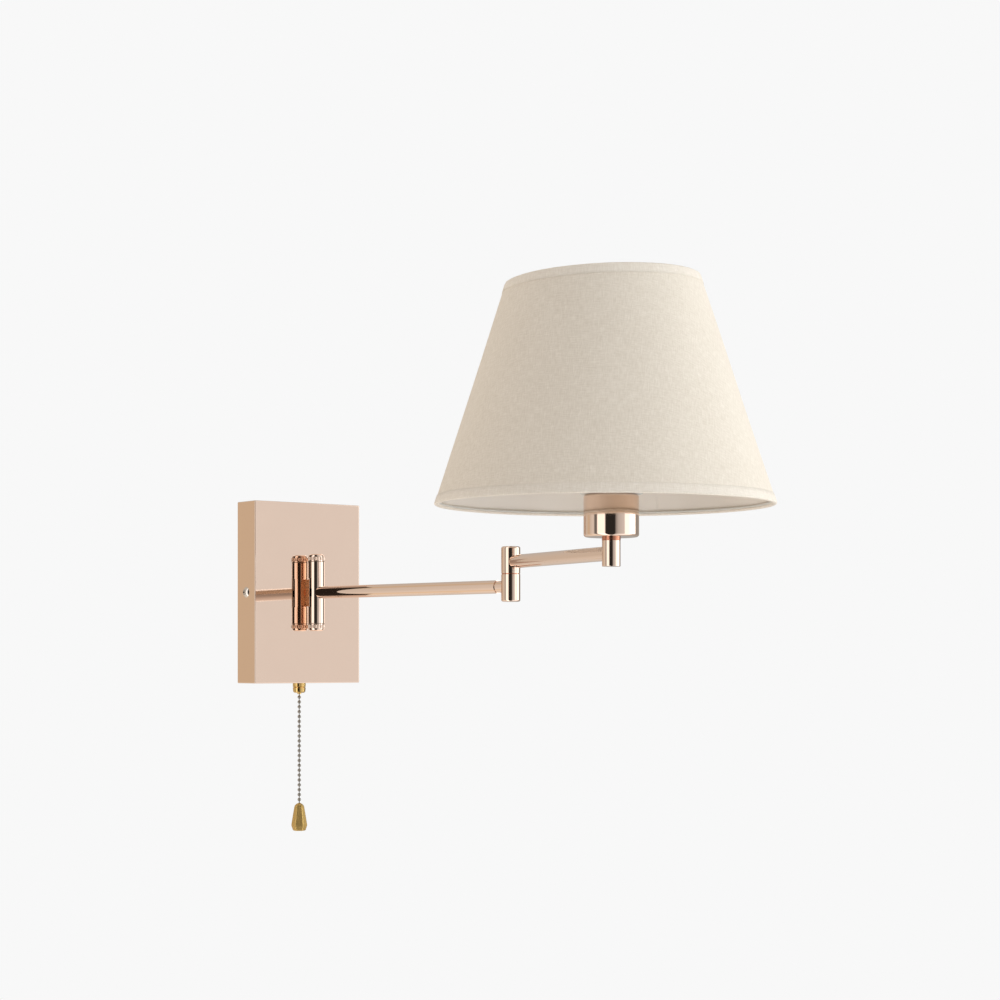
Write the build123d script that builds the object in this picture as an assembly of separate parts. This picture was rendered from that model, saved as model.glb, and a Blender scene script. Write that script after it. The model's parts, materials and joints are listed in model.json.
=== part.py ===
from build123d import *
import os
from math import atan2, cos, degrees, radians, sin, sqrt

# Swing arm wall sconce, in millimetres. +Z is up, +Y goes into the wall, +X runs along it.
# The origin is the centre of the back plane, at the height of the swing arm's barrel.

# Driving dimensions: backplate
plate_width = 114.0
plate_height = 166.0
plate_depth = 30.0
sheet = 1.2                     # thickness of the pressed cover
bracket_sheet = 2.0

# Barrel pivot in front of the plate
barrel_offset = 14.0            # pivot axis in front of the plate's face
barrel_radius = 7.5
core_radius = 6.85
barrel_half = 28.0              # half the height of the turning sleeve
cap_height = 6.5
cap_radius = 7.9

# Arms: each angle is measured from straight out of the wall, positive towards +X
long_arm_length = 250.0         # barrel axis to elbow axis
long_arm_angle = 7.3
short_arm_length = 170.0        # elbow axis to lamp axis
short_arm_angle = -11.3
arm_rise = 20.5                 # short arm above long arm
rod_radius = 5.6
rod_bore = 4.2
neck_length = 7.0               # bare neck between the end of each tube and the elbow
neck_radius = 5.0
swing_limit = 80.0              # each way from straight out

# Elbow
elbow_radius = 8.0
elbow_bottom = -12.7
elbow_split = 10.1
elbow_washer = 0.8
elbow_ring = 3.0                # washer and ring together
elbow_top = 33.4
elbow_cavity = 6.2
pin_radius = 4.0

# Lamp head
stem_radius = 7.1
stem_bottom = 10.4
stem_top = 30.4
cup_radius = 21.25
cup_bottom = 32.8
cup_top = 65.5
bulb_length = 108.0

# Shade
shade_bottom = 57.5
shade_top = 228.5
shade_bottom_radius = 130.0
shade_top_radius = 74.0
shade_offset = (-5.0, 1.6)      # the shade hangs this far off the lamp's axis
fabric = 0.8
liner = 0.6
ring_wire = 1.4
hem = 7.5

# Pull switch, chain and knob
bush_radius = 5.0
nut_radius = 6.0
ball_radius = 1.6
link_radius = 0.55
ball_pitch = 4.52
balls_per_half = 11
knob_length = 25.6

gap = 0.05                      # clearance between faces that slide on each other
lead_radius = 1.4
low = (Align.CENTER, Align.CENTER, Align.MIN)

face_y = -plate_depth
barrel = Vector(0, -(plate_depth + barrel_offset), 0)


def heading(angle):
    """Level unit vector at an angle from straight out of the wall."""
    return Vector(sin(radians(angle)), -cos(radians(angle)), 0)


long_way = heading(long_arm_angle)
short_way = heading(short_arm_angle)
elbow = barrel + long_way * long_arm_length
lamp = elbow + short_way * short_arm_length


def rod(start, end, radius):
    """Round bar between two points."""
    run = end - start
    return Plane(origin=start, z_dir=run) * Cylinder(radius, run.length, align=low)


def upright(centre, bottom, top, radius):
    """Round bar along Z at a centre's X and Y."""
    return Pos(centre.X, centre.Y, bottom) * Cylinder(radius, top - bottom, align=low)


def tube(centre, bottom, top, outer, inner):
    """Pipe along Z at a centre's X and Y."""
    return upright(centre, bottom, top, outer) - upright(centre, bottom, top, inner)


def lathe(centre, profile):
    """Solid turned about Z from a closed outline of (radius, height) points."""
    face = make_face(Plane.XZ * Polyline(*profile, close=True))
    return Pos(centre.X, centre.Y, 0) * revolve(face, Axis.Z)


def block(x, y, z):
    """Box from three (low, high) pairs."""
    size = (x[1] - x[0], y[1] - y[0], z[1] - z[0])
    return Pos((x[0] + x[1]) / 2, (y[0] + y[1]) / 2, (z[0] + z[1]) / 2) * Box(*size)


def soften(solid, where, radius):
    """Round the lowest or highest circular edges of an upright solid."""
    edges = solid.edges().filter_by(GeomType.CIRCLE).group_by(Axis.Z)[where]
    return fillet(edges, radius)


def hexagon(centre, bottom, top, across_flats, bore):
    """Hexagon nut with its axis along Z."""
    sketch = RegularPolygon(across_flats / 2, 6, major_radius=False) - Circle(bore)
    return Pos(centre.X, centre.Y, bottom) * extrude(sketch, top - bottom)


nodes = {}

# ---------------------------------------------------------------- backplate
inner_x = plate_width / 2 - sheet
screw_y = face_y / 2
switch_axis = Vector(0, screw_y, 0)
slot_spacing = 100.0
cable_hole_z = 24.0
cable_hole_radius = 8.0


def backplate_cover():
    half_x = plate_width / 2
    half_z = plate_height / 2
    shell = block((-half_x, half_x), (face_y, 0), (-half_z, half_z))
    shell = fillet(shell.edges().filter_by(Axis.Y), 1.0)
    shell = fillet(shell.faces().sort_by(Axis.Y)[0].edges(), 0.7)
    shell -= block((-inner_x, inner_x), (face_y + sheet, 1), (sheet - half_z, half_z - sheet))
    shell -= rod(Vector(-half_x - 1, screw_y, 0), Vector(half_x + 1, screw_y, 0), 2.2)
    shell -= rod(Vector(0, face_y - 1, 0), Vector(0, face_y + 2, 0), bush_radius + 0.1)
    shell -= upright(switch_axis, -half_z - 1, -half_z + 2, bush_radius + 0.1)
    return shell


def wall_bracket():
    strap = block((-30, 30), (-bracket_sheet, 0), (-72, 72))
    strap = fillet(strap.edges().filter_by(Axis.Y), 4)
    tab_x = inner_x - 0.1
    bar = block((-tab_x, tab_x), (-bracket_sheet, 0), (-13, 13))
    bracket = strap + bar
    for side in (-1, 1):
        tab_edges = sorted((side * tab_x, side * (tab_x - bracket_sheet)))
        bracket += block(tab_edges, (screw_y - 8, 0), (-10, 10))
    bracket -= rod(Vector(-60, screw_y, 0), Vector(60, screw_y, 0), 2.0)
    for slot_z in (-slot_spacing / 2, slot_spacing / 2):
        slot = extrude(Plane.XZ * Pos(0, slot_z) * Rot(0, 0, 90) * SlotOverall(14, 5), 5, both=True)
        bracket -= slot
    bracket -= rod(Vector(0, -5, cable_hole_z), Vector(0, 5, cable_hole_z), cable_hole_radius)
    bracket -= rod(Vector(19, -5, 56), Vector(19, 5, 56), 2.0)
    return bracket


def side_screw(side):
    """Dome-headed cross-slot screw that holds the cover on the bracket's tab."""
    outer = plate_width / 2
    dome = Sphere(6.0) & Pos(0, 0, 3.5) * Box(20, 20, 7, align=low)
    head = Pos(0, 0, -3.5) * dome
    slots = Pos(0, 0, 1.2) * (Box(4.6, 1.1, 4, align=low) + Box(1.1, 4.6, 4, align=low))
    screw = head - slots + Pos(0, 0, -9) * Cylinder(1.98, 9.2, align=low)
    return Pos(side * outer, screw_y, 0) * Rot(0, side * 90, 0) * screw


nodes["backplate_cover"] = backplate_cover()
nodes["wall_bracket"] = wall_bracket()
nodes["cover_side_screws"] = Compound([side_screw(-1), side_screw(1)])

# Terminal block on the bracket, with its clamp screws and the earth screw
block_z = (38.0, 50.0)
block_y = (-18.0, -bracket_sheet)
way_pitch = 9.0
terminal = block((-15, 15), block_y, block_z)
terminal = fillet(terminal.edges().filter_by(Axis.Z), 1.2)
ways = [Vector(way_pitch * i, 0, 0) for i in (-1, 0, 1)]
for way in ways:
    terminal -= rod(way + Vector(0, -19, 44), way + Vector(0, -9, 44), 2.1)
    terminal -= upright(way + Vector(0, -7, 0), 37, 51, 1.8)
nodes["terminal_block"] = terminal
clamp_screws = []
for way in ways:
    clamp = rod(way + Vector(0, -15.5, 44), way + Vector(0, -9.1, 44), 2.0)
    clamp -= block((way.X - 2.5, way.X + 2.5), (-16, -14.9), (43.7, 44.3))
    clamp_screws.append(clamp)
nodes["terminal_screws"] = Compound(clamp_screws)
earth = rod(Vector(19, 0, 56), Vector(19, -4, 56), 1.98)
earth += rod(Vector(19, -4, 56), Vector(19, -6.4, 56), 3.6)
earth -= block((15, 23), (-7, -5.6), (55.6, 56.4))
nodes["earth_screw"] = earth
cup_washer = rod(Vector(19, -2, 56), Vector(19, -4, 56), 5.0)
cup_washer -= rod(Vector(19, 0, 56), Vector(19, -9, 56), 2.05)
nodes["earth_washer"] = cup_washer

# ---------------------------------------------------------------- barrel pivot
post_bore = 2.0
post_half_width = 3.0
post_half_height = 12.5
spigot_radius = 2.9
core_end = barrel_half + 0.5


def mounting_post():
    """Stadium block in front of the cover, threaded behind it and spigoted into the core."""
    shape = Plane.XZ * Rot(0, 0, 90) * SlotOverall(2 * post_half_height, 2 * post_half_width)
    near_core = barrel_offset - core_radius - 0.1
    post = Pos(0, face_y, 0) * extrude(shape, near_core)
    post += rod(Vector(0, face_y, 0), Vector(0, face_y + 10, 0), bush_radius)
    post += rod(Vector(0, face_y, 0), barrel + Vector(0, 2.6, 0), spigot_radius)
    post -= rod(Vector(0, face_y + 20, 0), barrel, post_bore)
    return post


def pivot_core():
    core = upright(barrel, -core_end, core_end, core_radius)
    core += upright(barrel, -core_end - 5, core_end + 5, 4.5)
    core -= rod(barrel, Vector(0, face_y, 0), spigot_radius + 0.02)
    front = block((-9, 9), (barrel.Y - 9, barrel.Y + 1.2), (-3.6, 3.6))
    return core - front


def barrel_sleeve():
    """Turning sleeve with a front hole for the leads and a rear window round the post."""
    sleeve = tube(barrel, -barrel_half, barrel_half, barrel_radius, core_radius + gap)
    post_sweep = degrees(atan2(post_half_width, core_radius + 0.1))
    half_window = swing_limit + post_sweep + 2.5
    reach = 12.0
    corners = [(0, 0)]
    for step in range(7):
        turn = radians(90 + long_arm_angle - half_window + 2 * half_window * step / 6)
        corners.append((reach * cos(turn), reach * sin(turn)))
    wedge = make_face(Polyline(*corners, close=True))
    window = Pos(barrel.X, barrel.Y, -post_half_height - 0.6)
    sleeve -= window * extrude(wedge, 2 * post_half_height + 1.2)
    sleeve -= rod(barrel, barrel + long_way * 12, rod_bore)
    return sleeve


bead_radius = 1.0
bead_count = 20
bead_low = 1.5                  # lowest and highest centres of a bead, above the cap's inner face
bead_high = 3.3


def beaded_cap(side):
    """Cap with a ring of upright beads, which screws on one end of the core and keeps the sleeve on."""
    radius = cap_radius - 0.7
    outline = [(0, 0), (radius, 0), (radius, cap_height - 2.2), (radius - 0.5, cap_height - 0.8)]
    outline += [(radius - 1.9, cap_height), (0, cap_height)]
    cap = lathe(Vector(0, 0, 0), outline)
    cap -= Cylinder(4.52, 2 * 5.2)
    bead = Pos(0, 0, bead_low) * Cylinder(bead_radius, bead_high - bead_low, align=low)
    for end in (bead_low, bead_high):
        bead += Pos(0, 0, end) * Sphere(bead_radius)
    cap += PolarLocations(cap_radius - bead_radius, bead_count) * bead
    place = Pos(barrel.X, barrel.Y, side * (core_end + gap))
    if side < 0:
        return place * Rot(180, 0, 0) * cap
    return place * cap


nodes["mounting_post"] = mounting_post()
nodes["pivot_core"] = pivot_core()
nodes["barrel_sleeve"] = barrel_sleeve()
nodes["barrel_cap_top"] = beaded_cap(1)
nodes["barrel_cap_bottom"] = beaded_cap(-1)
washer_height = core_end - barrel_half - gap
upper_washer = tube(barrel, core_end - washer_height, core_end, barrel_radius - 0.1, core_radius + gap)
lower_washer = tube(barrel, -core_end, washer_height - core_end, barrel_radius - 0.1, core_radius + gap)
nodes["barrel_friction_washers"] = Compound([upper_washer, lower_washer])

# Stiffener, toothed washer and nut behind the cover's face
stiffener_y = face_y + sheet
stiffener = block((-22, 22), (stiffener_y, stiffener_y + 2), (-32, 32))
stiffener -= rod(Vector(0, face_y, 0), Vector(0, 0, 0), bush_radius + 0.1)
nodes["cover_stiffener"] = stiffener
washer_y = stiffener_y + 2
lock_washer = rod(Vector(0, washer_y, 0), Vector(0, washer_y + 1, 0), 8.5)
lock_washer -= rod(Vector(0, face_y, 0), Vector(0, 0, 0), bush_radius + 0.1)
nodes["post_lock_washer"] = lock_washer
post_nut = hexagon(Vector(0, 0, 0), 0, 3.5, 14, bush_radius + 0.02)
nodes["post_nut"] = Pos(0, washer_y + 1, 0) * Rot(-90, 0, 0) * post_nut

# ---------------------------------------------------------------- long arm
elbow_face = long_arm_length - elbow_radius
long_start = barrel + long_way * 5
long_end = barrel + long_way * (elbow_face - neck_length)
long_tube = rod(long_start, long_end, rod_radius) - rod(long_start, long_end, rod_bore)
long_tube -= upright(barrel, -10, 10, barrel_radius + 0.01)
nodes["long_arm_tube"] = long_tube
neck_end = elbow - long_way * (elbow_cavity + 0.4)
neck = rod(long_end, elbow, neck_radius) - upright(elbow, -10, 10, elbow_radius + 0.01)
neck += rod(long_end - long_way * 8, neck_end, rod_bore - 0.02)
neck -= rod(long_end - long_way * 9, elbow, 2.4)
nodes["long_arm_neck"] = neck

floor_bottom = elbow_split - 4.5
ring_top = elbow_split + elbow_ring
upper_floor = ring_top + 2.8
cap_disc = 2.0


def elbow_lower():
    body = soften(upright(elbow, elbow_bottom, elbow_split - gap, elbow_radius), 0, 1.6)
    body -= upright(elbow, elbow_bottom - 1, floor_bottom, elbow_cavity)
    body -= upright(elbow, 0, elbow_split + 1, pin_radius + 0.01)
    return body - rod(elbow, elbow - long_way * 12, rod_bore)


def elbow_upper():
    body = soften(upright(elbow, ring_top + gap, elbow_top, elbow_radius), -1, 1.6)
    body -= upright(elbow, upper_floor, elbow_top + 1, elbow_cavity)
    body -= upright(elbow, ring_top, upper_floor + 1, pin_radius + gap)
    height = Vector(0, 0, arm_rise)
    return body - rod(elbow + height, elbow + height + short_way * 12, rod_bore)


def elbow_pin():
    """Hollow shouldered pin that the upper half turns on."""
    pin_top = upper_floor + 2.9
    pin = upright(elbow, floor_bottom, pin_top, pin_radius)
    pin += upright(elbow, floor_bottom - 2, floor_bottom, elbow_cavity - 0.3)
    return pin - upright(elbow, floor_bottom - 3, pin_top + 1, 2.4)


nodes["elbow_lower"] = elbow_lower()
washer_top = elbow_split + elbow_washer
nodes["elbow_washer"] = tube(elbow, elbow_split, washer_top, elbow_radius - 0.5, pin_radius + 0.02)
nodes["elbow_ring"] = tube(elbow, washer_top, ring_top, elbow_radius - 0.05, pin_radius + 0.02)
nodes["elbow_pin"] = elbow_pin()
spring_washer_top = upper_floor + 0.6
nodes["elbow_spring_washer"] = tube(elbow, upper_floor + gap, spring_washer_top, 5.6, pin_radius + 0.02)
nodes["elbow_nut"] = hexagon(elbow, spring_washer_top, upper_floor + 2.7, 10, pin_radius + 0.01)
nodes["elbow_bottom_plug"] = upright(elbow, elbow_bottom, elbow_bottom + cap_disc, elbow_cavity - 0.02)

# ---------------------------------------------------------------- short arm and lamp head
nodes["elbow_upper"] = elbow_upper()
nodes["elbow_top_plug"] = upright(elbow, elbow_top - cap_disc, elbow_top, elbow_cavity - 0.02)
rise = Vector(0, 0, arm_rise)
short_start = elbow + rise
short_end = lamp + rise
short_tube_start = short_start + short_way * (elbow_radius + neck_length)
short_tube = rod(short_tube_start, short_end, rod_radius) - rod(short_start, short_end, rod_bore)
short_tube -= upright(lamp, 0, 40, stem_radius + 0.01)
nodes["short_arm_tube"] = short_tube
upper_neck_start = short_start + short_way * (elbow_cavity + 0.4)
upper_neck = rod(short_start, short_tube_start, neck_radius)
upper_neck -= upright(elbow, arm_rise - 10, arm_rise + 10, elbow_radius + 0.01)
upper_neck += rod(upper_neck_start, short_tube_start + short_way * 8, rod_bore - 0.02)
upper_neck -= rod(short_start, short_tube_start + short_way * 9, 2.4)
nodes["short_arm_neck"] = upper_neck

nipple_radius = 5.0
nipple_bore = 3.0
nipple_bottom = 25.5
nipple_top = 41.0
stem = upright(lamp, stem_bottom, stem_top, stem_radius)
stem = fillet(stem.edges().filter_by(GeomType.CIRCLE), 0.3)
stem -= upright(lamp, stem_bottom + 4, stem_top + 1, nipple_bore)
stem -= upright(lamp, nipple_bottom, stem_top + 1, nipple_radius + 0.02)
stem -= rod(short_end, short_end - short_way * 12, rod_bore)
nodes["lamp_stem"] = stem
nodes["stem_washer"] = tube(lamp, stem_top, cup_bottom, stem_radius + 0.1, nipple_radius + 0.1)
nodes["lamp_nipple"] = tube(lamp, nipple_bottom, nipple_top, nipple_radius, nipple_bore)


def socket_cup():
    cup = upright(lamp, cup_bottom, cup_top, cup_radius)
    cup = soften(cup, 0, 2.2)
    cup = soften(cup, -1, 2.4)
    cup -= upright(lamp, cup_bottom + sheet, cup_top - sheet, cup_radius - sheet)
    cup -= upright(lamp, cup_bottom - 1, cup_bottom + 3, nipple_radius + 0.1)
    return cup - upright(lamp, cup_top - 3, cup_top + 1, 17.2)


nodes["socket_cup"] = socket_cup()
nodes["cup_nut"] = hexagon(lamp, cup_bottom + sheet, cup_bottom + sheet + 3.5, 14, nipple_radius + 0.02)

holder_base = nipple_top - 2.0
holder_top = 92.0
holder_radius = 16.6
shell_radius = 13.9
shell_bottom = 62.0


def lampholder_body():
    outline = [(0, holder_base), (14.5, holder_base), (holder_radius, holder_base + 4)]
    outline += [(holder_radius, holder_top - 1), (holder_radius - 1, holder_top), (0, holder_top)]
    body = lathe(lamp, outline)
    body -= upright(lamp, shell_bottom, holder_top + 1, shell_radius + 0.02)
    body -= upright(lamp, holder_base - 1, nipple_top + 0.5, nipple_radius + 0.02)
    return body - upright(lamp, holder_base - 1, shell_bottom + 1, nipple_bore)


nodes["lampholder_body"] = lampholder_body()
nodes["lampholder_shell"] = tube(lamp, shell_bottom, holder_top - 2, shell_radius, shell_radius - 0.5)
contact = upright(lamp, shell_bottom, shell_bottom + 1.2, 5.0)
nodes["lampholder_contact"] = contact + upright(lamp, shell_bottom - 3, shell_bottom, nipple_bore - 0.1)


neck_z = holder_top + 1.5
bulb_foot = shell_bottom + 1.4
bulb_widest = 30.0
bulb_centre = bulb_foot + bulb_length - bulb_widest


def bulb_envelope(inset):
    """Pear shape: a straight neck, a swelling shoulder and a round crown."""
    radius = bulb_widest - inset
    crown = bulb_centre + radius
    with BuildPart() as bulb:
        with BuildSketch(Plane.XZ):
            with BuildLine():
                foot = Line((0, neck_z), (13.0 - inset, neck_z))
                shoulder = (16.5 - inset, neck_z + 14)
                Spline(foot @ 1, shoulder, (radius, bulb_centre), tangents=[(0, 1), (0, 1)])
                CenterArc((0, bulb_centre), radius, 0, 90)
                Line((0, crown), (0, neck_z))
            make_face()
        revolve(axis=Axis.Z)
    return Pos(lamp.X, lamp.Y, 0) * bulb.part


def bulb_base():
    """Thin screw base, closed at the foot by its insulator and contact."""
    side = 13.0
    outline = [(0, bulb_foot), (4.5, bulb_foot), (8, bulb_foot + 2.6), (side, bulb_foot + 4.6)]
    outline += [(side, neck_z - 0.1), (side - 0.6, neck_z - 0.1), (side - 0.6, bulb_foot + 6)]
    return lathe(lamp, outline + [(0, bulb_foot + 4)])


nodes["bulb_glass"] = bulb_envelope(0) - bulb_envelope(0.8)
nodes["bulb_base"] = bulb_base()

# ---------------------------------------------------------------- shade
shade_axis = lamp + Vector(*shade_offset, 0)
slope = (shade_bottom_radius - shade_top_radius) / (shade_top - shade_bottom)
lean = sqrt(1 + slope * slope)


def shade_radius(z):
    """Outer radius of the fabric at a height."""
    return shade_bottom_radius - slope * (z - shade_bottom)


def cone_band(bottom, top, inset, thickness):
    """Conical band that lies an inset inside the fabric's outer face."""
    outer = inset * lean
    inner = (inset + thickness) * lean
    profile = [(shade_radius(bottom) - outer, bottom), (shade_radius(top) - outer, top)]
    profile += [(shade_radius(top) - inner, top), (shade_radius(bottom) - inner, bottom)]
    return lathe(shade_axis, profile)


hem_sheet = 0.4
wire_inset = fabric + liner + 3 * gap + ring_wire
nodes["shade_fabric"] = cone_band(shade_bottom, shade_top, 0, fabric)
nodes["shade_liner"] = cone_band(shade_bottom, shade_top, fabric + gap, liner)
nodes["shade_hem_bottom"] = cone_band(shade_bottom, shade_bottom + hem, -hem_sheet - gap, hem_sheet)
nodes["shade_hem_top"] = cone_band(shade_top - hem, shade_top, -hem_sheet - gap, hem_sheet)


def wire_radius(z):
    """Radius of the wire ring that lies inside the liner at a height."""
    return shade_radius(z) - wire_inset * lean


def wire_ring(z):
    return Pos(shade_axis.X, shade_axis.Y, z) * Torus(wire_radius(z), ring_wire)


top_wire_z = shade_top - 2
nodes["shade_ring_bottom"] = wire_ring(shade_bottom + 2)
nodes["shade_ring_top"] = wire_ring(top_wire_z)
spider_wire = 1.5


def shade_spider():
    """Fitter ring on the cup with three wires that rise to the top ring."""
    spider = tube(lamp, cup_top + gap, cup_top + 1.6, 24.0, 17.0)
    head_radius = wire_radius(top_wire_z) - ring_wire - spider_wire - 0.02
    for turn in (60, 180, 300):
        out = Vector(cos(radians(turn)), sin(radians(turn)), 0)
        foot = lamp + out * 22.4 + Vector(0, 0, cup_top + spider_wire)
        head = shade_axis + out * head_radius + Vector(0, 0, top_wire_z)
        spider += rod(foot, head, spider_wire)
        spider += Pos(head) * Sphere(spider_wire)
    return spider


nodes["shade_spider"] = shade_spider()
ring_nut = tube(lamp, cup_top + 1.7, cup_top + 6.5, 19.6, holder_radius + 0.05)
ring_nut -= Pos(lamp.X, lamp.Y, 0) * PolarLocations(20.8, 12) * Cylinder(1.8, 400)
nodes["shade_ring_nut"] = ring_nut

# ---------------------------------------------------------------- pull switch
plate_bottom = -plate_height / 2
switch_floor = plate_bottom + sheet + 0.4
switch_roof = switch_floor + 27
bush_end = plate_bottom - 8.5
plunger_end = plate_bottom - 10.3
plunger_radius = 1.8
plunger_head = switch_roof - 5.0
plunger_room = 4.6

switch_body = block((-13, 13), (screw_y - 8, screw_y + 8), (switch_floor, switch_roof))
switch_body = fillet(switch_body.edges().filter_by(Axis.Z), 2.0)
switch_body -= upright(switch_axis, switch_floor + 2, switch_roof - 1.5, plunger_room)
switch_body -= upright(switch_axis, switch_floor - 1, switch_floor + 3, bush_radius - 1)
nodes["switch_body"] = switch_body
bush = tube(switch_axis, bush_end, switch_floor, bush_radius, plunger_radius + 0.08)
bush += tube(switch_axis, switch_floor, switch_floor + 2, bush_radius - 1.05, plunger_radius + 0.08)
nodes["switch_bush"] = bush


def switch_collar():
    """Knurled round nut that clamps the bush against the cover."""
    top = plate_bottom
    bottom = top - 3.9
    outline = [(bush_radius + 0.02, top), (nut_radius, top), (nut_radius, bottom + 0.6)]
    outline += [(nut_radius - 0.6, bottom), (bush_radius + 0.02, bottom)]
    collar = lathe(switch_axis, outline)
    return collar - Pos(0, screw_y, 0) * PolarLocations(nut_radius + 0.15, 18) * Cylinder(0.45, 400)


def switch_cap_nut():
    """Plain tapered nut below the collar, with a lip in under the bush."""
    top = plate_bottom - 4.1
    bottom = bush_end - 0.6
    outline = [(bush_radius + 0.02, top), (nut_radius - 0.3, top), (nut_radius, top - 0.5)]
    outline += [(nut_radius - 0.4, bottom + 1), (nut_radius - 1.6, bottom), (2.6, bottom)]
    outline += [(2.6, bush_end - 0.05), (bush_radius + 0.02, bush_end - 0.05)]
    return lathe(switch_axis, outline)


nodes["switch_collar_nut"] = switch_collar()
nodes["switch_cap_nut"] = switch_cap_nut()
plunger = upright(switch_axis, plunger_end, plunger_head, plunger_radius)
plunger += upright(switch_axis, plunger_head - 2.5, plunger_head, 3.8)
nodes["switch_plunger"] = plunger
coil_bottom = switch_floor + 2.6
coil_top = plunger_head - 3.1
coil = Helix(pitch=(coil_top - coil_bottom) / 5, height=coil_top - coil_bottom, radius=3.0)
coil_start = Plane(origin=coil @ 0, z_dir=coil % 0)
nodes["switch_spring"] = Pos(0, screw_y, coil_bottom) * sweep(coil_start * Circle(0.35), path=coil)

# ---------------------------------------------------------------- chain and knob
first_ball = plate_bottom - 13.1
chain_top = first_ball + 1.8
last_ball = first_ball - ball_pitch * (2 * balls_per_half - 1)
knob_top = last_ball - 3.2
knob_bottom = knob_top - knob_length
joint_gap = 0.3
mid_joint = first_ball - ball_pitch * (balls_per_half - 0.5)


def ball_chain(start, end, first):
    """Balls on a thin link wire, turned as one outline from start down to end."""
    half_chord = sqrt(ball_radius ** 2 - link_radius ** 2)
    with BuildPart() as chain:
        with BuildSketch(Plane.XZ):
            with BuildLine():
                Line((0, start), (link_radius, start))
                below = start
                for index in range(balls_per_half):
                    centre = first - ball_pitch * index
                    Line((link_radius, below), (link_radius, centre + half_chord))
                    below = centre - half_chord
                    equator = (ball_radius, centre)
                    ThreePointArc((link_radius, centre + half_chord), equator, (link_radius, below))
                Line((link_radius, below), (link_radius, end))
                Line((link_radius, end), (0, end))
                Line((0, end), (0, start))
            make_face()
        revolve(axis=Axis.Z)
    return Pos(switch_axis.X, switch_axis.Y, 0) * chain.part


def pull_knob():
    """Six-sided tapered knob: narrow at the chain, widest near its foot, chamfered below."""
    levels = [(knob_top, 4.2), (knob_bottom + 5.0, 7.2), (knob_bottom, 6.0)]
    faces = [Pos(0, screw_y, z) * RegularPolygon(radius, 6) for z, radius in levels]
    knob = loft(faces[:2], ruled=True) + loft(faces[1:], ruled=True)
    knob -= upright(switch_axis, knob_top - 9, knob_top + 1, 0.9)
    return knob


nodes["pull_chain_upper"] = ball_chain(chain_top, mid_joint + joint_gap, first_ball)
lower_first = first_ball - ball_pitch * balls_per_half
nodes["pull_chain_lower"] = ball_chain(mid_joint - joint_gap, knob_top - 8, lower_first)
nodes["pull_knob"] = pull_knob()

# ---------------------------------------------------------------- internal leads


def lead(points, bend):
    """Lead along straight runs, with one arc of the given radius at each corner."""
    path = FilletPolyline(*points, radius=bend)
    start = Plane(origin=path @ 0, z_dir=path % 0)
    return sweep(start * Circle(lead_radius), path=path)


block_foot = block_z[0] - 0.3
plate_lead = [(0, -7, block_foot), (0, -7, 0), (0, barrel.Y + 2.9, 0)]
nodes["leads_in_plate"] = lead(plate_lead, 8)
switch_leads = []
for side in (-1, 1):
    route_x = side * way_pitch
    switch_leads.append(rod(Vector(route_x, -9, switch_roof), Vector(route_x, -9, block_foot), 1.0))
nodes["leads_to_switch"] = Compound(switch_leads)
arm_start = barrel + long_way * 2.9
nodes["leads_in_long_arm"] = lead([arm_start, elbow, elbow + Vector(0, 0, arm_rise - 1.8)], 4)
head_start = elbow + rise + short_way * 2.0
nodes["leads_in_short_arm"] = lead([head_start, lamp + rise, lamp + Vector(0, 0, 58)], 5)

os.makedirs("parts", exist_ok=True)
for name, shape in nodes.items():
    export_step(shape, os.path.join("parts", name + ".step"))
print(len(nodes), "nodes")
print("elbow axis", [round(value, 3) for value in elbow])
print("lamp axis", [round(value, 3) for value in lamp])
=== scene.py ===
import json
from math import cos, pi, radians, sin

import bmesh
import bpy
import numpy as np
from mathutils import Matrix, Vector


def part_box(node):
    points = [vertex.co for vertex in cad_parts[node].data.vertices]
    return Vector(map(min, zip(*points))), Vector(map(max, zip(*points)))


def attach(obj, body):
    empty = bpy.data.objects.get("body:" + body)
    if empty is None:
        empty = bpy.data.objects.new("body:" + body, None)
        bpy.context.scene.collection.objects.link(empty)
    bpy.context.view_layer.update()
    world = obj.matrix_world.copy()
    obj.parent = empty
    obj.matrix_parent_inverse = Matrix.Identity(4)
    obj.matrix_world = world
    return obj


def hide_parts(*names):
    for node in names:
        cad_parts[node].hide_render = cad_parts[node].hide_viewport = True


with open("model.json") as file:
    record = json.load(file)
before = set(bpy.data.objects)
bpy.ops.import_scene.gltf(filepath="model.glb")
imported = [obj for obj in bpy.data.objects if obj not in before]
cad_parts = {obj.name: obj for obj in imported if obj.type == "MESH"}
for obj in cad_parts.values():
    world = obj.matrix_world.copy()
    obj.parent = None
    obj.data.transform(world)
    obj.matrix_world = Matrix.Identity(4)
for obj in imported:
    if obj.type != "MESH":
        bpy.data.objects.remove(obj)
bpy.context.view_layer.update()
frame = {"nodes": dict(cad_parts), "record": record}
print("frame loaded:", len(frame["nodes"]), "nodes")

# Camera, at the front left of the plate
viewAngle = radians(37.845)  # how far the camera stands to the left of straight on
camera = {"place": (-1.0765, -1.7038, -0.0574), "lens": 77.46, "rise": 0.1553}


def addCamera(place, lens, rise):
    data = bpy.data.cameras.new("camera")
    data.sensor_width = 36.0
    data.lens = lens
    data.shift_y = rise
    data.clip_start = 0.05
    data.clip_end = 60.0
    item = bpy.data.objects.new("camera", data)
    item.location = place
    item.rotation_euler = (pi / 2, 0, -viewAngle)
    bpy.context.collection.objects.link(item)
    bpy.context.scene.camera = item


addCamera(**camera)

towardCamera = np.array([-sin(viewAngle), -cos(viewAngle), 0.0])
toRight = np.array([cos(viewAngle), -sin(viewAngle), 0.0])


# Level direction at a turn from the camera's side, positive to the right:
# the cosine of the turn towards the camera plus its sine to the right
def around(turn):
    return towardCamera * cos(turn) + toRight * sin(turn)


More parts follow.
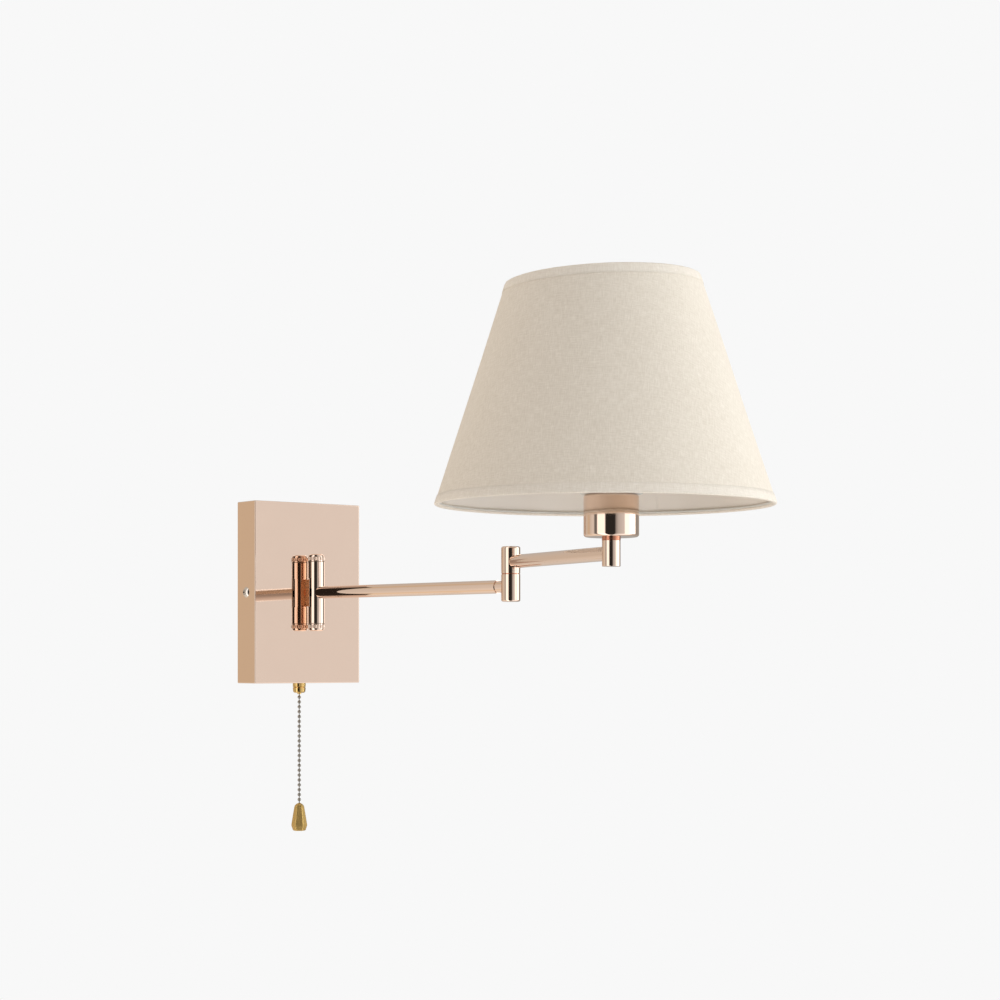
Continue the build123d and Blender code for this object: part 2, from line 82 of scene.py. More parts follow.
def addNode(tree, kind, values=None, **settings):
    item = tree.nodes.new(kind)
    for name, value in settings.items():
        setattr(item, name, value)
    for name, value in (values or {}).items():
        item.inputs[name].default_value = value
    return item


# Studio: pale walls round the lamp, with two bright banks and a dark gap between them
studio = {
    # turn from the camera in degrees, brightness, warmth from 0 (white) to 1 (cream)
    "walls": [(-180, 0.56, 0.3), (-140, 0.68, 0.4), (-120, 0.72, 0.6), (-116, 0.72, 1.0), (-106, 0.70, 1.0),
              (-100, 0.74, 0.4), (-86, 0.84, 0.3), (-80, 0.80, 0.3), (-76, 0.24, 0.2), (-66, 0.16, 0.2),
              (-61, 1.60, 0.1), (-31, 1.60, 0.1), (-26, 0.03, 0.2), (12, 0.03, 0.2), (18, 0.38, 0.1),
              (28, 0.62, 0.0), (48, 0.76, 0.0), (66, 0.89, 0.0), (73, 0.90, 0.0), (83, 1.25, 0.0),
              (95, 1.25, 0.0), (107, 0.60, 0.1), (128, 0.34, 0.1), (150, 0.42, 0.3)],
    "cream": (1.0, 0.84, 0.64),
    "backdrop": 0.939,
    "level": 2.0,  # strength of the walls from the horizon up
    "below": 3.2,  # strength straight down, as from a bright floor
}


# The walls' light is a ramp round the level. Its strength falls evenly from straight down to just under the
# horizon and stays the same above. The camera itself sees a flat backdrop.
def addWorld(walls, cream, backdrop, level, below):
    world = bpy.data.worlds.new("studio")
    bpy.context.scene.world = world
    world.use_nodes = True
    tree = world.node_tree
    tree.nodes.clear()
    way = addNode(tree, "ShaderNodeTexCoord")
    turned = addNode(tree, "ShaderNodeMapping", {"Rotation": (0, 0, pi / 2 + viewAngle)})
    radial = addNode(tree, "ShaderNodeTexGradient", gradient_type="RADIAL")
    ramp = addNode(tree, "ShaderNodeValToRGB")
    stops = ramp.color_ramp.elements
    stops.remove(stops[-1])
    stops[0].position = 0.0
    for turn, light, warmth in walls:
        stop = stops[0] if turn == -180 else stops.new(turn / 360 + 0.5)
        tone = [light / level * (1 - warmth + warmth * part) for part in cream]
        stop.color = (*tone, 1)
    split = addNode(tree, "ShaderNodeSeparateXYZ")
    height = addNode(tree, "ShaderNodeMapRange",
                     {"From Min": -1.0, "From Max": -0.1, "To Min": below, "To Max": level})
    scaled = addNode(tree, "ShaderNodeVectorMath", operation="SCALE")
    glow = addNode(tree, "ShaderNodeBackground")
    flat = addNode(tree, "ShaderNodeBackground", {"Color": (backdrop, backdrop, backdrop, 1)})
    rays = addNode(tree, "ShaderNodeLightPath")
    pick = addNode(tree, "ShaderNodeMixShader")
    out = addNode(tree, "ShaderNodeOutputWorld")
    link = tree.links.new
    link(way.outputs["Generated"], turned.inputs["Vector"])
    link(turned.outputs[0], radial.inputs[0])
    link(radial.outputs["Fac"], ramp.inputs[0])
    link(way.outputs["Generated"], split.inputs[0])
    link(split.outputs["Z"], height.inputs["Value"])
    link(ramp.outputs["Color"], scaled.inputs[0])
    link(height.outputs["Result"], scaled.inputs["Scale"])
    link(scaled.outputs[0], glow.inputs["Color"])
    link(rays.outputs["Is Camera Ray"], pick.inputs[0])
    link(glow.outputs[0], pick.inputs[1])
    link(flat.outputs[0], pick.inputs[2])
    link(pick.outputs[0], out.inputs[0])


addWorld(**studio)

head = np.mean(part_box("socket_cup"), axis=0)
coolWhite = (0.90, 0.97, 1.0)
lamps = [
    {"name": "keyBank", "turn": 69, "reach": 0.60, "lift": 0.10, "size": (0.33, 0.90), "watts": 0.75},
    {"name": "sideBank", "turn": 100, "reach": 1.60, "lift": 0.25, "size": (0.9, 1.3), "watts": 6.0},
    {"name": "frontFill", "turn": 48, "reach": 1.50, "lift": 0.20, "size": (0.9, 1.2), "watts": 5.2,
     "shows": False},  # lights the cloth, but isn't mirrored in the metal
]


def addLamp(name, turn, reach, lift, size, watts, shows=True):
    data = bpy.data.lights.new(name, "AREA")
    data.shape = "RECTANGLE"
    data.size, data.size_y = size
    data.energy = watts
    data.color = coolWhite
    item = bpy.data.objects.new(name, data)
    item.visible_glossy = shows
    place = head + around(radians(turn)) * reach + np.array([0, 0, lift])
    item.location = place
    item.rotation_euler = Vector(head - place).to_track_quat("-Z", "Y").to_euler()
    bpy.context.collection.objects.link(item)


for lamp in lamps:
    addLamp(**lamp)

bpy.context.scene.view_settings.view_transform = "Standard"


# Meshes from grids of points
mergeReach = 2e-7  # metres within which two points are one


# Point (i, j) of the grid is vertex i * across + j. A face joins four neighbours, and a closed way wraps
# round. Points that meet, as at a pole, are merged, and a closed shell's faces are turned outwards.
def gridPiece(name, points, closeAlong=False, closeAcross=False, uv=None, outwards=True):
    along, across = points.shape[:2]
    rows = np.arange(along - (not closeAlong))
    columns = np.arange(across - (not closeAcross))
    i, j = np.meshgrid(rows, columns, indexing="ij")
    nextI, nextJ = (i + 1) % along, (j + 1) % across
    corners = np.stack([i * across + j, nextI * across + j, nextI * across + nextJ, i * across + nextJ], -1)
    corners = corners.reshape(-1, 4)
    mesh = bpy.data.meshes.new(name)
    mesh.from_pydata(points.reshape(-1, 3), [], corners)
    if uv is not None:
        cornerUv = np.stack([uv[i, j], uv[i + 1, j], uv[i + 1, j + 1], uv[i, j + 1]], -2)
        mesh.uv_layers.new(name="cut").data.foreach_set("uv", cornerUv.reshape(-1))
    work = bmesh.new()
    work.from_mesh(mesh)
    bmesh.ops.remove_doubles(work, verts=work.verts, dist=mergeReach)
    if outwards:
        bmesh.ops.recalc_face_normals(work, faces=work.faces)
    work.to_mesh(mesh)
    work.free()
    mesh.polygons.foreach_set("use_smooth", np.ones(len(mesh.polygons), dtype=bool))
    item = bpy.data.objects.new(name, mesh)
    bpy.context.collection.objects.link(item)
    return item


# A profile of radii and heights turned about an upright axis:
# x and y are the centre plus the radius times the cosine and sine of the turn
def turned(centre, radius, height, sides):
    turn = np.linspace(0, 2 * pi, sides, endpoint=False)[:, None]
    x = centre[0] + radius * np.cos(turn)
    y = centre[1] + radius * np.sin(turn)
    return np.stack([x, y, np.broadcast_to(height, x.shape)], -1)


# Pale floor that sweeps up behind
sweep = {"floor": -2.4, "front": -5.5, "back": 3.6, "side": 6.0, "bend": 1.2, "top": 4.5, "tone": 0.939}


# Section: a level floor, a quarter circle of the bend's radius, then straight up
def addSweep(floor, front, back, side, bend, top, tone):
    turn = np.linspace(0, pi / 2, 13)
    y = np.concatenate([[front], back - bend + bend * np.sin(turn), [back]])
    z = np.concatenate([[floor], floor + bend - bend * np.cos(turn), [top]])
    x = np.array([-side, side])[:, None]
    points = np.stack(np.broadcast_arrays(x, y[None], z[None]), -1)
    item = gridPiece("studioSweep", points, outwards=False)
    material = bpy.data.materials.new("sweepPaint")
    material.use_nodes = True
    tree = material.node_tree
    tree.nodes.clear()
    glow = addNode(tree, "ShaderNodeEmission", {"Color": (tone, tone, tone, 1)})
    out = addNode(tree, "ShaderNodeOutputMaterial")
    tree.links.new(glow.outputs[0], out.inputs[0])
    item.data.materials.append(material)
    # A backdrop for the eye only: the walls of light stand in for it elsewhere
    item.visible_diffuse = False
    item.visible_glossy = False


addSweep(**sweep)
print("camera, studio and floor set")

# Materials
dentDepth = 0.0002
threadDepth = 0.0004


def newMaterial(name):
    material = bpy.data.materials.new(name)
    material.use_nodes = True
    tree = material.node_tree
    tree.nodes.clear()
    shader = addNode(tree, "ShaderNodeBsdfPrincipled")
    out = addNode(tree, "ShaderNodeOutputMaterial")
    tree.links.new(shader.outputs[0], out.inputs[0])
    return material, tree, shader


# Colour, roughness and bump from one cloudy noise and one fine noise.
# What is even all over is set on the shader.
def finish(name, tint, dark, rough, spread, cloudScale, fineScale, dents, stretch=(1, 1, 1), **constant):
    material, tree, shader = newMaterial(name)
    for socket, value in constant.items():
        shader.inputs[socket.replace("_", " ")].default_value = value
    link = tree.links.new
    place = addNode(tree, "ShaderNodeTexCoord")
    drawn = addNode(tree, "ShaderNodeMapping", {"Scale": stretch})
    cloud = addNode(tree, "ShaderNodeTexNoise", {"Scale": cloudScale, "Detail": 4.0, "Roughness": 0.55})
    fine = addNode(tree, "ShaderNodeTexNoise", {"Scale": fineScale, "Detail": 3.0})
    both = addNode(tree, "ShaderNodeMath", {1: 0.5}, operation="MULTIPLY_ADD")
    half = addNode(tree, "ShaderNodeMath", {1: 0.5}, operation="MULTIPLY")
    roughness = addNode(tree, "ShaderNodeMapRange",
                        {"From Min": 0.3, "From Max": 0.7, "To Min": rough, "To Max": rough + spread})
    mix = addNode(tree, "ShaderNodeMix", data_type="RGBA")
    mix.inputs["A"].default_value = (*[c * dark for c in tint], 1)
    mix.inputs["B"].default_value = (*tint, 1)
    bump = addNode(tree, "ShaderNodeBump", {"Strength": dents, "Distance": dentDepth})
    link(place.outputs["Object"], cloud.inputs["Vector"])
    link(place.outputs["Object"], drawn.inputs["Vector"])
    link(drawn.outputs[0], fine.inputs["Vector"])
    link(cloud.outputs["Fac"], half.inputs[0])
    link(fine.outputs["Fac"], both.inputs[0])
    link(half.outputs[0], both.inputs[2])
    link(both.outputs[0], roughness.inputs["Value"])
    link(both.outputs[0], mix.inputs["Factor"])
    link(roughness.outputs[0], shader.inputs["Roughness"])
    link(mix.outputs["Result"], shader.inputs["Base Color"])
    link(fine.outputs["Fac"], bump.inputs["Height"])
    link(bump.outputs[0], shader.inputs["Normal"])
    return material


metals = {
    "roseGold": {"tint": (0.82, 0.635, 0.52), "dark": 0.95, "rough": 0.015, "spread": 0.05,
                 "cloudScale": 38, "fineScale": 900, "dents": 0.01},
    "copperSatin": {"tint": (0.62, 0.27, 0.17), "dark": 0.75, "rough": 0.18, "spread": 0.12,
                    "cloudScale": 120, "fineScale": 1500, "dents": 0.06},
    "copperMatt": {"tint": (0.95, 0.45, 0.20), "dark": 0.75, "rough": 0.62, "spread": 0.12,
                   "cloudScale": 120, "fineScale": 1500, "dents": 0.10},
    "turnedBrass": {"tint": (0.74, 0.50, 0.19), "dark": 0.80, "rough": 0.10, "spread": 0.12,
                    "cloudScale": 150, "fineScale": 600, "dents": 0.10, "stretch": (1, 1, 9)},
    "zincPlate": {"tint": (0.60, 0.61, 0.63), "dark": 0.85, "rough": 0.22, "spread": 0.15,
                  "cloudScale": 90, "fineScale": 1200, "dents": 0.08},
    "screwSteel": {"tint": (0.70, 0.64, 0.58), "dark": 0.85, "rough": 0.10, "spread": 0.10,
                   "cloudScale": 300, "fineScale": 1500, "dents": 0.05},
    "chainNickel": {"tint": (0.36, 0.33, 0.29), "dark": 0.70, "rough": 0.18, "spread": 0.14,
                    "cloudScale": 500, "fineScale": 3000, "dents": 0.05},
    "satinGold": {"tint": (0.72, 0.49, 0.17), "dark": 0.86, "rough": 0.44, "spread": 0.14,
                  "cloudScale": 180, "fineScale": 1400, "dents": 0.16, "stretch": (1, 1, 0.12)},
}
plastics = {
    "wireWhite": {"tint": (0.78, 0.76, 0.71), "dark": 0.92, "rough": 0.38, "spread": 0.15,
                  "cloudScale": 60, "fineScale": 1500, "dents": 0.15},
    "fibreDisc": {"tint": (0.20, 0.13, 0.08), "dark": 0.6, "rough": 0.62, "spread": 0.2,
                  "cloudScale": 200, "fineScale": 2500, "dents": 0.5},
    "whiteMoulding": {"tint": (0.75, 0.74, 0.70), "dark": 0.93, "rough": 0.36, "spread": 0.12,
                      "cloudScale": 60, "fineScale": 2200, "dents": 0.12},
    "blackMoulding": {"tint": (0.022, 0.022, 0.022), "dark": 0.7, "rough": 0.35, "spread": 0.15,
                      "cloudScale": 80, "fineScale": 2200, "dents": 0.2},
    "leadSleeving": {"tint": (0.05, 0.045, 0.04), "dark": 0.7, "rough": 0.45, "spread": 0.15,
                     "cloudScale": 80, "fineScale": 1200, "dents": 0.2},
    "opalGlass": {"tint": (0.88, 0.87, 0.83), "dark": 0.97, "rough": 0.22, "spread": 0.08,
                  "cloudScale": 30, "fineScale": 1800, "dents": 0.03, "Coat_Weight": 0.3},
    "linerSkin": {"tint": (0.90, 0.83, 0.75), "dark": 0.93, "rough": 0.42, "spread": 0.15,
                  "cloudScale": 40, "fineScale": 1100, "dents": 0.12, "Sheen_Weight": 0.05},
}
made = {name: finish(name, Metallic=1.0, **look) for name, look in metals.items()}
made.update({name: finish(name, **look) for name, look in plastics.items()})

cutSize = 0.72  # metres of flat cloth across the whole of a piece's UV square
cloths = {
    "linenCloth": {"pale": (0.89, 0.805, 0.70), "deep": (0.745, 0.655, 0.545), "thread": 0.0008,
                   "slub": 0.0015, "streak": 0.006, "relief": 0.22},
    "linenTape": {"pale": (0.91, 0.83, 0.735), "deep": (0.78, 0.69, 0.585), "thread": 0.0007,
                  "slub": 0.0013, "streak": 0.006, "relief": 0.22},
}


# Linen on the flat cut: two crossed sets of long streaks for the threads, thicker slubs and a slow drift.
# Sizes are in metres on the cloth, so each noise's scale is the cut's size over the size wanted.
def linen(name, pale, deep, thread, slub, streak, relief):
    material, tree, shader = newMaterial(name)
    shader.inputs["Sheen Weight"].default_value = 0.12
    shader.inputs["Sheen Roughness"].default_value = 0.5
    shader.inputs["Specular IOR Level"].default_value = 0.2
    link = tree.links.new
    place = addNode(tree, "ShaderNodeTexCoord")
    layers = []
    across, along = cutSize / thread, cutSize / streak
    wide = cutSize / slub
    for size, low, high in (((across, along, 1), 0.30, 0.70), ((along, across, 1), 0.30, 0.70),
                            ((wide, along * 0.7, 1), 0.52, 0.80), ((along * 0.7, wide, 1), 0.56, 0.84)):
        drawn = addNode(tree, "ShaderNodeMapping", {"Scale": size})
        noise = addNode(tree, "ShaderNodeTexNoise", {"Scale": 1.0, "Detail": 2.0, "Roughness": 0.5})
        span = addNode(tree, "ShaderNodeMapRange", {"From Min": low, "From Max": high})
        link(place.outputs["UV"], drawn.inputs["Vector"])
        link(drawn.outputs[0], noise.inputs["Vector"])
        link(noise.outputs["Fac"], span.inputs["Value"])
        layers.append(span)
    total = layers[0]
    for layer, share in zip(layers[1:], (1.0, 0.7, 0.6)):
        joined = addNode(tree, "ShaderNodeMath", {1: share}, operation="MULTIPLY_ADD")
        link(layer.outputs[0], joined.inputs[0])
        link(total.outputs[0], joined.inputs[2])
        total = joined
    level = addNode(tree, "ShaderNodeMapRange", {"From Min": 0.3, "From Max": 2.3})
    drift = addNode(tree, "ShaderNodeTexNoise", {"Scale": cutSize / 0.035, "Detail": 2.0})
    share = addNode(tree, "ShaderNodeMath", {1: 0.22}, operation="MULTIPLY_ADD")
    mix = addNode(tree, "ShaderNodeMix", data_type="RGBA")
    mix.inputs["A"].default_value = (*deep, 1)
    mix.inputs["B"].default_value = (*pale, 1)
    roughness = addNode(tree, "ShaderNodeMapRange", {"To Min": 0.95, "To Max": 0.80})
    bump = addNode(tree, "ShaderNodeBump", {"Strength": relief, "Distance": threadDepth})
    link(total.outputs[0], level.inputs["Value"])
    link(place.outputs["UV"], drift.inputs["Vector"])
    link(drift.outputs["Fac"], share.inputs[0])
    link(level.outputs[0], share.inputs[2])
    link(share.outputs[0], mix.inputs["Factor"])
    link(mix.outputs["Result"], shader.inputs["Base Color"])
    link(level.outputs[0], roughness.inputs["Value"])
    link(roughness.outputs[0], shader.inputs["Roughness"])
    link(level.outputs[0], bump.inputs["Height"])
    link(bump.outputs[0], shader.inputs["Normal"])
    return material


made.update({name: linen(name, **look) for name, look in cloths.items()})

finishes = {
    "polished_rose_gold": "roseGold", "copper_washer": "copperSatin", "turned_brass": "turnedBrass",
    "zinc_steel": "zincPlate", "wire_steel": "wireWhite", "steel_chain": "chainNickel",
    "satin_gold": "satinGold", "fibre": "fibreDisc", "moulded_white": "whiteMoulding",
    "moulded_black": "blackMoulding", "lead_sleeving": "leadSleeving", "opal_glass": "opalGlass",
    "linen": "linenCloth", "liner": "linerSkin", "hem_tape": "linenTape",
}
# Two nodes wear another finish than their slot's
ownLooks = {"cover_side_screws": "screwSteel", "mounting_post": "copperMatt"}
slots = {entry["node"]: entry["material_slot"] for entry in frame["record"]["subparts"]}
for node in frame["nodes"]:
    part = bpy.data.objects[node]
    look = ownLooks.get(node, finishes[slots[node]])
    part.data.materials.clear()
    part.data.materials.append(made[look])
print("materials set:", len(made))


# A new piece rides on its node's body, hides the nodes that it stands for and takes their finish
def stands(piece, body, *nodes):
    piece.data.materials.append(made[finishes[slots[nodes[0]]]])
    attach(piece, body)
    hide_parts(*nodes)


# Shade: a cone that leans a little, with its upper rim out of level
shade = {
    "headRadius": 0.074,
    "lean": (-0.008, 0.007),  # drift of the axis for each metre of height
    "tilt": (0.034, -0.024),  # rise of the upper rim for each metre along x and y
    "seamTurn": 160,  # of the glued overlap, in degrees from the camera's side
    "overlap": 0.012,
    "cloth": 0.0008,
    "lining": 0.0006,
    "seamEdge": 0.0008,  # width over which the overlap's step rises
    "waviness": 0.00012,
    "sectors": 264,
}
low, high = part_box("shade_fabric")
shadeFoot = np.array([(low[0] + high[0]) / 2, (low[1] + high[1]) / 2, low[2]])
footRadius = (high[0] - low[0]) / 2
shadeHeight = high[2] - low[2]
narrowing = footRadius - shade["headRadius"]
slant = np.hypot(narrowing, shadeHeight)
flatShare = narrowing / slant  # turn of the flat cut for each turn of the cone
seam = radians(shade["seamTurn"] - 90) - viewAngle


# Point on the cone at a turn, a length up the slant from the lower rim, and a step outwards. The radius
# shrinks evenly, the centre drifts by the lean, and the height gains the tilt times x and y towards the head.
def onShade(turn, up, out):
    rise = up / slant
    radius = footRadius - narrowing * rise + out
    x, y = radius * np.cos(turn), radius * np.sin(turn)
    climb = shadeHeight * rise
    leanX, leanY = shade["lean"]
    tiltX, tiltY = shade["tilt"]
    z = shadeFoot[2] + climb + rise * (tiltX * x + tiltY * y)
    return np.stack([shadeFoot[0] + x + leanX * climb, shadeFoot[1] + y + leanY * climb, z], -1)


# Turns round the shade, with extra ones at both edges of the overlap
def seamedTurns():
    even = np.linspace(0, 2 * pi, shade["sectors"], endpoint=False)
    edge = shade["overlap"] / 2 / footRadius
    extra = np.array([-1.25, -1.1, -1.0, -0.9, 0.9, 1.0, 1.1, 1.25]) * edge + seam
    return np.sort(np.concatenate([even, extra % (2 * pi)]))


# Slow waves in the cloth: three sines of the turn, two of them drifting with the height
def waves(turn, up):
    swell = np.sin(5 * turn + 40 * up) + np.sin(9 * turn - 25 * up + 1) + np.sin(2 * turn + 2)
    return shade["waviness"] * swell


# A closed skin round the whole shade: a section of (up, out) points turned about the axis. It ripples by the
# slow waves and moves by the step over the seam. The UV is the flat cut, which is a sector of a ring.
def shadeSkin(name, up, out, step):
    turn = seamedTurns()[:, None]
    gapFromSeam = np.abs((turn - seam + pi) % (2 * pi) - pi) * footRadius
    over = np.clip((shade["overlap"] / 2 - gapFromSeam) / shade["seamEdge"] + 0.5, 0, 1) * step
    points = onShade(turn, up[None], out[None] + over + waves(turn, up[None]))
    wholeTurn = np.append(turn[:, 0], turn[0, 0] + 2 * pi)
    flatTurn = (wholeTurn - seam - pi) * flatShare
    reach = footRadius / flatShare - np.append(up, up[0])
    flatX = reach[None] * np.sin(flatTurn)[:, None]
    flatY = reach[None] * np.cos(flatTurn)[:, None]
    uv = np.stack([flatX, flatY], -1) / cutSize + np.array([0.5, 0.2])
    return gridPiece(name, points, True, True, uv)


# Section of a skin: up its outer side, from one margin to the other, and back down its inner side
def skinSection(margin, outer, inner, steps=40):
    up = np.linspace(margin, slant - margin, steps)
    return np.concatenate([up, up[::-1]]), np.concatenate([np.full(steps, outer), np.full(steps, inner)])


clothBack = -shade["cloth"]
liningFace = clothBack - 0.00005
liningBack = liningFace - shade["lining"]
fabricSkin = shadeSkin("shadeLinen", *skinSection(0.0003, 0.0, clothBack + 0.0001), 0.0004)
liningSkin = shadeSkin("shadeLining", *skinSection(0.0006, liningFace - 0.0001, liningBack), -0.0003)
stands(fabricSkin, "short_arm", "shade_fabric")
stands(liningSkin, "short_arm", "shade_liner")

# Hem tapes, folded round each rim over its ring wire
hemTape = {
    "outerLeg": 0.0075, "innerLeg": 0.0022, "stand": 0.00034, "thick": 0.00035, "depth": 0.0036,
    "pucker": 0.00010,
    "outerSteps": (0.0040, 0.0012),  # heights of the points on the outer leg
    "foldAt": 0.0010, "foldDrop": 0.0017, "foldRise": 0.0013,  # middle of the fold, and how deep it is
    "innerSteps": (0.0010, 0.0016), "innerGaps": (0.0007, 0.0004),  # inner leg, drawn in towards the lining
    "backSteps": (0.0014, 0.0010), "backGap": 0.0002,  # the same leg's face on the lining
    "glue": 0.00002,
}
ringWire = {"radius": 0.0010, "up": 0.0018, "out": -0.0026}


# Section of a tape: down the outer leg, round the rim by a half ellipse, up the inner leg to the lining, then
# the same way back a tape's thickness inside. Gives lengths up from the rim and steps outwards.
def tapeSection():
    stand, depth, thick = hemTape["stand"], hemTape["depth"], hemTape["thick"]
    outerLeg, innerLeg, foldAt = hemTape["outerLeg"], hemTape["innerLeg"], hemTape["foldAt"]
    high, low = hemTape["outerSteps"]
    middle = (stand - depth) / 2
    half = (stand + depth) / 2
    inside = half - thick
    wall = liningBack - 0.0001
    bend = np.linspace(0, pi, 13)
    back = bend[::-1]
    up = np.concatenate([
        [outerLeg, high, low], foldAt - hemTape["foldDrop"] * np.sin(bend),
        [*hemTape["innerSteps"], innerLeg], [innerLeg, *hemTape["backSteps"]],
        foldAt - hemTape["foldRise"] * np.sin(back), [low, high, outerLeg]])
    nearGap, farGap = hemTape["innerGaps"]
    out = np.concatenate([
        [stand - 0.0001, stand, stand], middle + half * np.cos(bend),
        [-depth, wall - nearGap, wall - farGap], [wall, wall - hemTape["backGap"], -depth + thick],
        middle + inside * np.cos(back), [hemTape["glue"]] * 3])
    return up, out


# A tape round one rim: the section turned about the shade, puckered a little where it is glued.
# The UV runs round the rim and across the tape, in the same metres as the flat cloth.
def addTape(name, atHead, body, *nodes):
    up, out = tapeSection()
    turn = seamedTurns()[:, None]
    pucker = hemTape["pucker"] * (np.sin(31 * turn) + np.sin(47 * turn + 2) + 0.6 * np.sin(83 * turn + 1))
    height = slant - up if atHead else up
    points = onShade(turn, height[None], out[None] + pucker + waves(turn, height[None]))
    size = np.hypot(np.diff(np.append(up, up[0])), np.diff(np.append(out, out[0])))
    across = np.append(0, np.cumsum(size))
    radius = shade["headRadius"] if atHead else footRadius
    length = np.append(turn[:, 0], turn[0, 0] + 2 * pi) * radius
    uv = np.stack(np.broadcast_arrays(length[:, None], across[None]), -1) / cutSize
    piece = gridPiece(name, points, True, True, uv)
    stands(piece, body, *nodes)


addTape("hemTapeFoot", False, "short_arm", "shade_hem_bottom")
addTape("hemTapeHead", True, "short_arm", "shade_hem_top")


# Ring wire inside a rim: a small circle of (up, out) turned about the shade
def addRingWire(name, atHead, node):
    bend = np.linspace(0, 2 * pi, 12, endpoint=False)
    up = ringWire["up"] + ringWire["radius"] * np.cos(bend)
    out = ringWire["out"] + ringWire["radius"] * np.sin(bend)
    turn = np.linspace(0, 2 * pi, 144, endpoint=False)[:, None]
    height = slant - up if atHead else up
    stands(gridPiece(name, onShade(turn, height[None], out[None]), True, True), "short_arm", node)


addRingWire("ringWireFoot", False, "shade_ring_bottom")
addRingWire("ringWireHead", True, "shade_ring_top")

# Spider: a pressed ring on the cup and three wires up to the head ring
spider = {"inner": 0.017, "outer": 0.024, "sheet": 0.0016, "bead": 0.0004, "wire": 0.0014, "foot": 0.0205,
          "turns": (60, 180, 300), "inset": 0.0044, "drop": 0.0030, "bend": 0.012, "tail": 0.003,
          "sunk": 0.9, "level": 0.4}  # share of a wire's radius above the ring, and of the bend that is level
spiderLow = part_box("shade_spider")[0][2]


# Round bar on a path in one upright plane. The path is (away, height) points, and each circle lies across it,
# spanned by the level direction across the plane and by the path's own normal.
def planeBar(origin, away, path, radius):
    step = np.gradient(path, axis=0)
    step /= np.linalg.norm(step, axis=1)[:, None]
    side = np.array([-away[1], away[0], 0.0])
    up = np.array([0.0, 0.0, 1.0])
    normal = -step[:, 1:] * away + step[:, :1] * up
    middle = origin + path[:, :1] * away + path[:, 1:] * up
    bend = np.linspace(0, 2 * pi, 12, endpoint=False)[None, :, None]
    ring = middle[:, None] + radius * (np.cos(bend) * side + np.sin(bend) * normal[:, None])
    ends = [np.repeat(middle[:1, None], 12, axis=1), np.repeat(middle[-1:, None], 12, axis=1)]
    return np.concatenate([ends[0], ring, ends[1]])


# Ring: a flat section with softened corners turned about the cup. Wire: a level foot, a quadratic curve whose
# corner lies out along the foot, then a straight run to the head ring.
def addSpider():
    bead = spider["bead"]
    radius = np.array([spider["inner"] + bead, spider["outer"] - bead, spider["outer"], spider["outer"],
                       spider["outer"] - bead, spider["inner"] + bead, spider["inner"], spider["inner"]])
    height = spiderLow + np.array([0, 0, bead, spider["sheet"] - bead, spider["sheet"], spider["sheet"],
                                   spider["sheet"] - bead, bead])
    pieces = [gridPiece("spiderRing", turned(head, radius, height, 96), True, True)]
    for index, turn in enumerate(spider["turns"]):
        out = np.array([cos(radians(turn)), sin(radians(turn)), 0.0])
        footHeight = spiderLow + spider["sheet"] + spider["wire"] * spider["sunk"]
        foot = np.array([head[0], head[1], footHeight]) + out * spider["foot"]
        top = onShade(np.array(radians(turn)), np.array(slant - spider["drop"]), np.array(-spider["inset"]))
        run = top - foot
        reach = np.hypot(run[0], run[1])
        away = np.array([run[0], run[1], 0.0]) / reach
        corner = np.array([spider["bend"] * spider["level"], 0.0])
        end = np.array([reach, run[2]])
        rising = corner + (end - corner) * np.array([spider["bend"] / slant])
        share = np.linspace(0, 1, 9)[:, None]
        curve = (1 - share) ** 2 * np.zeros(2) + 2 * share * (1 - share) * corner + share ** 2 * rising
        straight = rising + (end - rising) * np.linspace(0.1, 1, 10)[:, None]
        path = np.concatenate([[[-spider["tail"], 0.0]], curve, straight])
        points = planeBar(foot, away, path, spider["wire"])
        pieces.append(gridPiece(f"spiderWire{index}", points, False, True))
    whole = bmesh.new()
    for piece in pieces:
        whole.from_mesh(piece.data)
        bpy.data.objects.remove(piece)
    mesh = bpy.data.meshes.new("spiderFrame")
    whole.to_mesh(mesh)
    whole.free()
    item = bpy.data.objects.new("spiderFrame", mesh)
    bpy.context.collection.objects.link(item)
    stands(item, "short_arm", "shade_spider")


addSpider()
print("shade built")

# Ball chain in two halves
chain = {"ball": 0.0016, "wire": 0.00042, "pitch": 0.00452, "balls": 11, "lip": 0.00072, "lipSeat": 0.96,
         "aboveFirst": 0.0018, "belowJoint": 0.0003, "jointGap": 0.00025, "reachUp": 0.0009}


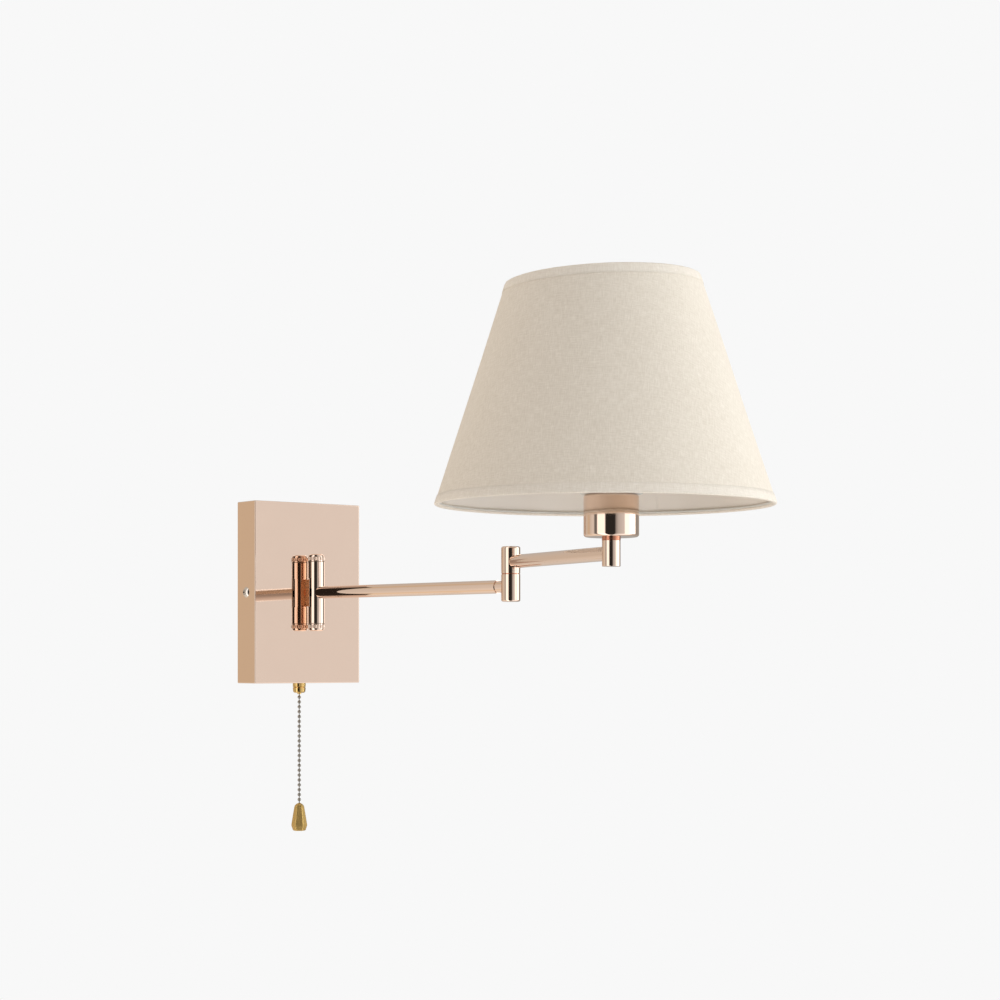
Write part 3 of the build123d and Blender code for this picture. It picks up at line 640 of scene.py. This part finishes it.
# One half of the chain: link wire and hollow balls as one turned profile, each ball an arc from lip to lip
def addChain(name, body, node, top, first, bottom):
    lip = np.arcsin(chain["lip"] / chain["ball"])
    arc = np.linspace(lip, pi - lip, 11)
    radius, height = [np.array([0.0, chain["wire"]])], [np.array([top, top])]
    seat = chain["ball"] * np.cos(lip) * chain["lipSeat"]
    for index in range(chain["balls"]):
        centre = first - chain["pitch"] * index
        radius += [[chain["wire"]], chain["ball"] * np.sin(arc), [chain["wire"]]]
        height += [[centre + seat], centre + chain["ball"] * np.cos(arc), [centre - seat]]
    radius += [np.array([chain["wire"], 0.0])]
    height += [np.array([bottom, bottom])]
    low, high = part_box(node)
    centre = (np.array(low) + np.array(high)) / 2
    piece = gridPiece(name, turned(centre, np.concatenate(radius), np.concatenate(height), 20), True, False)
    stands(piece, body, node)


upperLow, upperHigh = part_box("pull_chain_upper")
lowerLow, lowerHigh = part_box("pull_chain_lower")
addChain("ballChainUpper", "chain_upper", "pull_chain_upper", upperHigh[2] + chain["reachUp"],
         upperHigh[2] - chain["aboveFirst"], upperLow[2] - chain["jointGap"])
addChain("ballChainLower", "chain_lower", "pull_chain_lower", lowerHigh[2] + chain["jointGap"],
         lowerHigh[2] + chain["belowJoint"] - chain["pitch"] / 2, lowerLow[2])

# Pull knob: six soft-edged flats that flare to a chamfered foot
knob = {
    # share of the height down from the top, half width across the flats
    "profile": [(0.0, 0.0), (0.0, 0.0010), (0.03, 0.0022), (0.075, 0.0034), (0.105, 0.0038),
                (0.14, 0.00405), (0.46, 0.0053), (0.76, 0.0064), (0.80, 0.0065), (0.83, 0.0064),
                (0.93, 0.0056), (0.97, 0.0053), (0.99, 0.0050), (1.0, 0.0045), (1.0, 0.0)],
    "turn": 27, "softness": 26,
}


# Six flats blended by a high power, the softness: the radius is the half width over the power sum's root of
# the cosines of the turn to each flat, so that each corner is a little round
def addKnob(profile, turn, softness):
    low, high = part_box("pull_knob")
    centre = (np.array(low) + np.array(high)) / 2
    share, width = np.array(profile).T
    ways = np.linspace(0, 2 * pi, 96, endpoint=False)[:, None]
    flats = radians(turn + 30) + np.arange(6) * pi / 3
    facing = np.clip(np.cos(ways - flats[None]), 0, None) ** softness
    reach = facing.sum(axis=1) ** (-1 / softness)
    radius = reach[:, None] * width[None]
    height = high[2] - share * (high[2] - low[2])
    points = np.stack([centre[0] + radius * np.cos(ways), centre[1] + radius * np.sin(ways),
                       np.broadcast_to(height, radius.shape)], -1)
    stands(gridPiece("facetKnob", points, True, False), "chain_lower", "pull_knob")


addKnob(**knob)
print("chain and knob built")
